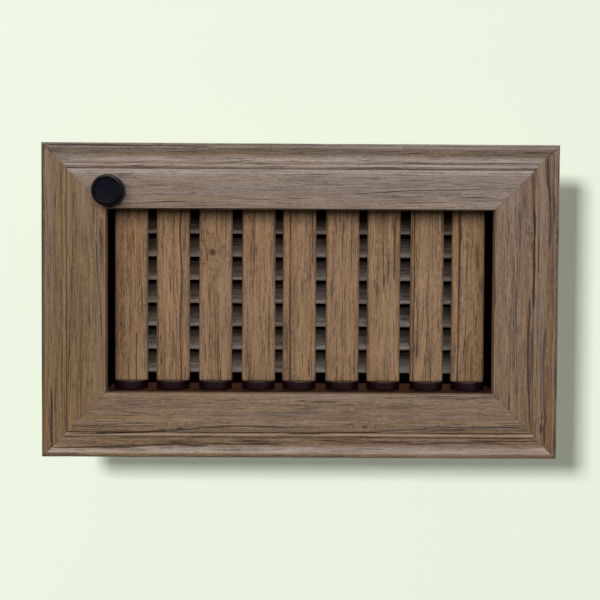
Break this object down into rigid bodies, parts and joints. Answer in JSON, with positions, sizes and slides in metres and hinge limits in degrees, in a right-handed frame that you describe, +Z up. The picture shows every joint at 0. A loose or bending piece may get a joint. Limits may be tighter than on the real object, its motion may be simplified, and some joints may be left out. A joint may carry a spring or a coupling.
{
  "type": "wooden air vent",
  "caption": "Wooden duct vent: a mitred, moulded frame round a row of upright turning blades, with level slats behind them that a small round knob opens and closes.",
  "frame": {"origin": "middle of the frame on the wall plane, which is the flat back of the frame", "axes": "+Z up, +Y out of the room into the duct, +X along the vent's width to the right"},
  "size_m": [0.511, 0.1005, 0.311],
  "materials": {
    "frame_wood": "weathered oak grain, satin",
    "blade_wood": "weathered oak grain, satin",
    "slat_wood": "grey-brown oak grain, satin",
    "neck_board": "black painted hardboard, matt",
    "cap_plastic": "dark plum, glossy",
    "arm_plastic": "black, satin",
    "knob_plastic": "black, satin gloss",
    "inlay_plastic": "blue-black, glossy",
    "bright_steel": "zinc plated",
    "dark_steel": "blackened steel, matt",
    "bush_brass": "turned brass"
  },
  "bodies": {
    "root": {"frame_top": "frame_wood", "frame_bottom": "frame_wood", "frame_left": "frame_wood", "frame_right": "frame_wood", "corner_nails": "bright_steel", "neck_top": "neck_board", "neck_bottom": "neck_board", "neck_left": "neck_board", "neck_right": "neck_board", "neck_screws": "dark_steel", "shaft_bush": "bush_brass"},
    "knob": {"knob": "knob_plastic", "knob_inlay": "inlay_plastic", "knob_screw": "bright_steel", "knob_shaft": "bright_steel", "crank_arm": "bright_steel"},
    "slat_1": {"rear_slat_1": "slat_wood", "rear_arm_1": "arm_plastic", "rear_pivot_1": "arm_plastic"},
    "slat_2": {"rear_slat_2": "slat_wood", "rear_arm_2": "arm_plastic", "rear_pivot_2": "arm_plastic"},
    "slat_3": {"rear_slat_3": "slat_wood", "rear_arm_3": "arm_plastic", "rear_pivot_3": "arm_plastic"},
    "slat_4": {"rear_slat_4": "slat_wood", "rear_arm_4": "arm_plastic", "rear_pivot_4": "arm_plastic"},
    "slat_5": {"rear_slat_5": "slat_wood", "rear_arm_5": "arm_plastic", "rear_pivot_5": "arm_plastic"},
    "slat_6": {"rear_slat_6": "slat_wood", "rear_arm_6": "arm_plastic", "rear_pivot_6": "arm_plastic"},
    "slat_7": {"rear_slat_7": "slat_wood", "rear_arm_7": "arm_plastic", "rear_pivot_7": "arm_plastic"},
    "link": {"link_bar": "dark_steel"},
    "blade_1": {"front_blade_1": "blade_wood", "front_caps_1": "cap_plastic"},
    "blade_2": {"front_blade_2": "blade_wood", "front_caps_2": "cap_plastic"},
    "blade_3": {"front_blade_3": "blade_wood", "front_caps_3": "cap_plastic"},
    "blade_4": {"front_blade_4": "blade_wood", "front_caps_4": "cap_plastic"},
    "blade_5": {"front_blade_5": "blade_wood", "front_caps_5": "cap_plastic"},
    "blade_6": {"front_blade_6": "blade_wood", "front_caps_6": "cap_plastic"},
    "blade_7": {"front_blade_7": "blade_wood", "front_caps_7": "cap_plastic"},
    "blade_8": {"front_blade_8": "blade_wood", "front_caps_8": "cap_plastic"},
    "blade_9": {"front_blade_9": "blade_wood", "front_caps_9": "cap_plastic"}
  },
  "joints": [
    {"name": "knob_turn", "type": "hinge", "parent": "root", "child": "knob", "pos_m": [-0.1863, 0, 0.1067], "axis": [0, -1, 0], "range_deg": [-51, 28]},
    {"name": "slat_turn_1", "type": "hinge", "parent": "root", "child": "slat_1", "pos_m": [0, 0.05005, 0.0794], "axis": [1, 0, 0], "range_deg": [-51, 28]},
    {"name": "slat_turn_2", "type": "hinge", "parent": "root", "child": "slat_2", "pos_m": [0, 0.05005, 0.0551], "axis": [1, 0, 0], "range_deg": [-51, 28]},
    {"name": "slat_turn_3", "type": "hinge", "parent": "root", "child": "slat_3", "pos_m": [0, 0.05005, 0.0308], "axis": [1, 0, 0], "range_deg": [-51, 28]},
    {"name": "slat_turn_4", "type": "hinge", "parent": "root", "child": "slat_4", "pos_m": [0, 0.05005, 0.0065], "axis": [1, 0, 0], "range_deg": [-51, 28]},
    {"name": "slat_turn_5", "type": "hinge", "parent": "root", "child": "slat_5", "pos_m": [0, 0.05005, -0.0178], "axis": [1, 0, 0], "range_deg": [-51, 28]},
    {"name": "slat_turn_6", "type": "hinge", "parent": "root", "child": "slat_6", "pos_m": [0, 0.05005, -0.0421], "axis": [1, 0, 0], "range_deg": [-51, 28]},
    {"name": "slat_turn_7", "type": "hinge", "parent": "root", "child": "slat_7", "pos_m": [0, 0.05005, -0.0664], "axis": [1, 0, 0], "range_deg": [-51, 28]},
    {"name": "link_pivot", "type": "hinge", "parent": "slat_4", "child": "link", "pos_m": [-0.1952, 0.05789, 0.00809], "axis": [1, 0, 0], "range_deg": [-28, 51]},
    {"name": "blade_turn_1", "type": "hinge", "parent": "root", "child": "blade_1", "pos_m": [-0.1722, 0.019, 0.0065], "axis": [0, 0, 1], "range_deg": [-90, 90]},
    {"name": "blade_turn_2", "type": "hinge", "parent": "root", "child": "blade_2", "pos_m": [-0.1295, 0.019, 0.0065], "axis": [0, 0, 1], "range_deg": [-90, 90]},
    {"name": "blade_turn_3", "type": "hinge", "parent": "root", "child": "blade_3", "pos_m": [-0.0861, 0.019, 0.0065], "axis": [0, 0, 1], "range_deg": [-90, 90]},
    {"name": "blade_turn_4", "type": "hinge", "parent": "root", "child": "blade_4", "pos_m": [-0.0422, 0.019, 0.0065], "axis": [0, 0, 1], "range_deg": [-90, 90]},
    {"name": "blade_turn_5", "type": "hinge", "parent": "root", "child": "blade_5", "pos_m": [-0.0006, 0.019, 0.0065], "axis": [0, 0, 1], "range_deg": [-90, 90]},
    {"name": "blade_turn_6", "type": "hinge", "parent": "root", "child": "blade_6", "pos_m": [0.0434, 0.019, 0.0065], "axis": [0, 0, 1], "range_deg": [-90, 90]},
    {"name": "blade_turn_7", "type": "hinge", "parent": "root", "child": "blade_7", "pos_m": [0.0855, 0.019, 0.0065], "axis": [0, 0, 1], "range_deg": [-90, 90]},
    {"name": "blade_turn_8", "type": "hinge", "parent": "root", "child": "blade_8", "pos_m": [0.1297, 0.019, 0.0065], "axis": [0, 0, 1], "range_deg": [-90, 90]},
    {"name": "blade_turn_9", "type": "hinge", "parent": "root", "child": "blade_9", "pos_m": [0.1718, 0.019, 0.0065], "axis": [0, 0, 1], "range_deg": [-90, 90]}
  ],
  "couplings": [
    {"joint": "slat_turn_1", "follows": "knob_turn", "ratio": 1},
    {"joint": "slat_turn_2", "follows": "knob_turn", "ratio": 1},
    {"joint": "slat_turn_3", "follows": "knob_turn", "ratio": 1},
    {"joint": "slat_turn_4", "follows": "knob_turn", "ratio": 1},
    {"joint": "slat_turn_5", "follows": "knob_turn", "ratio": 1},
    {"joint": "slat_turn_6", "follows": "knob_turn", "ratio": 1},
    {"joint": "slat_turn_7", "follows": "knob_turn", "ratio": 1},
    {"joint": "link_pivot", "follows": "knob_turn", "ratio": -1}
  ]
}
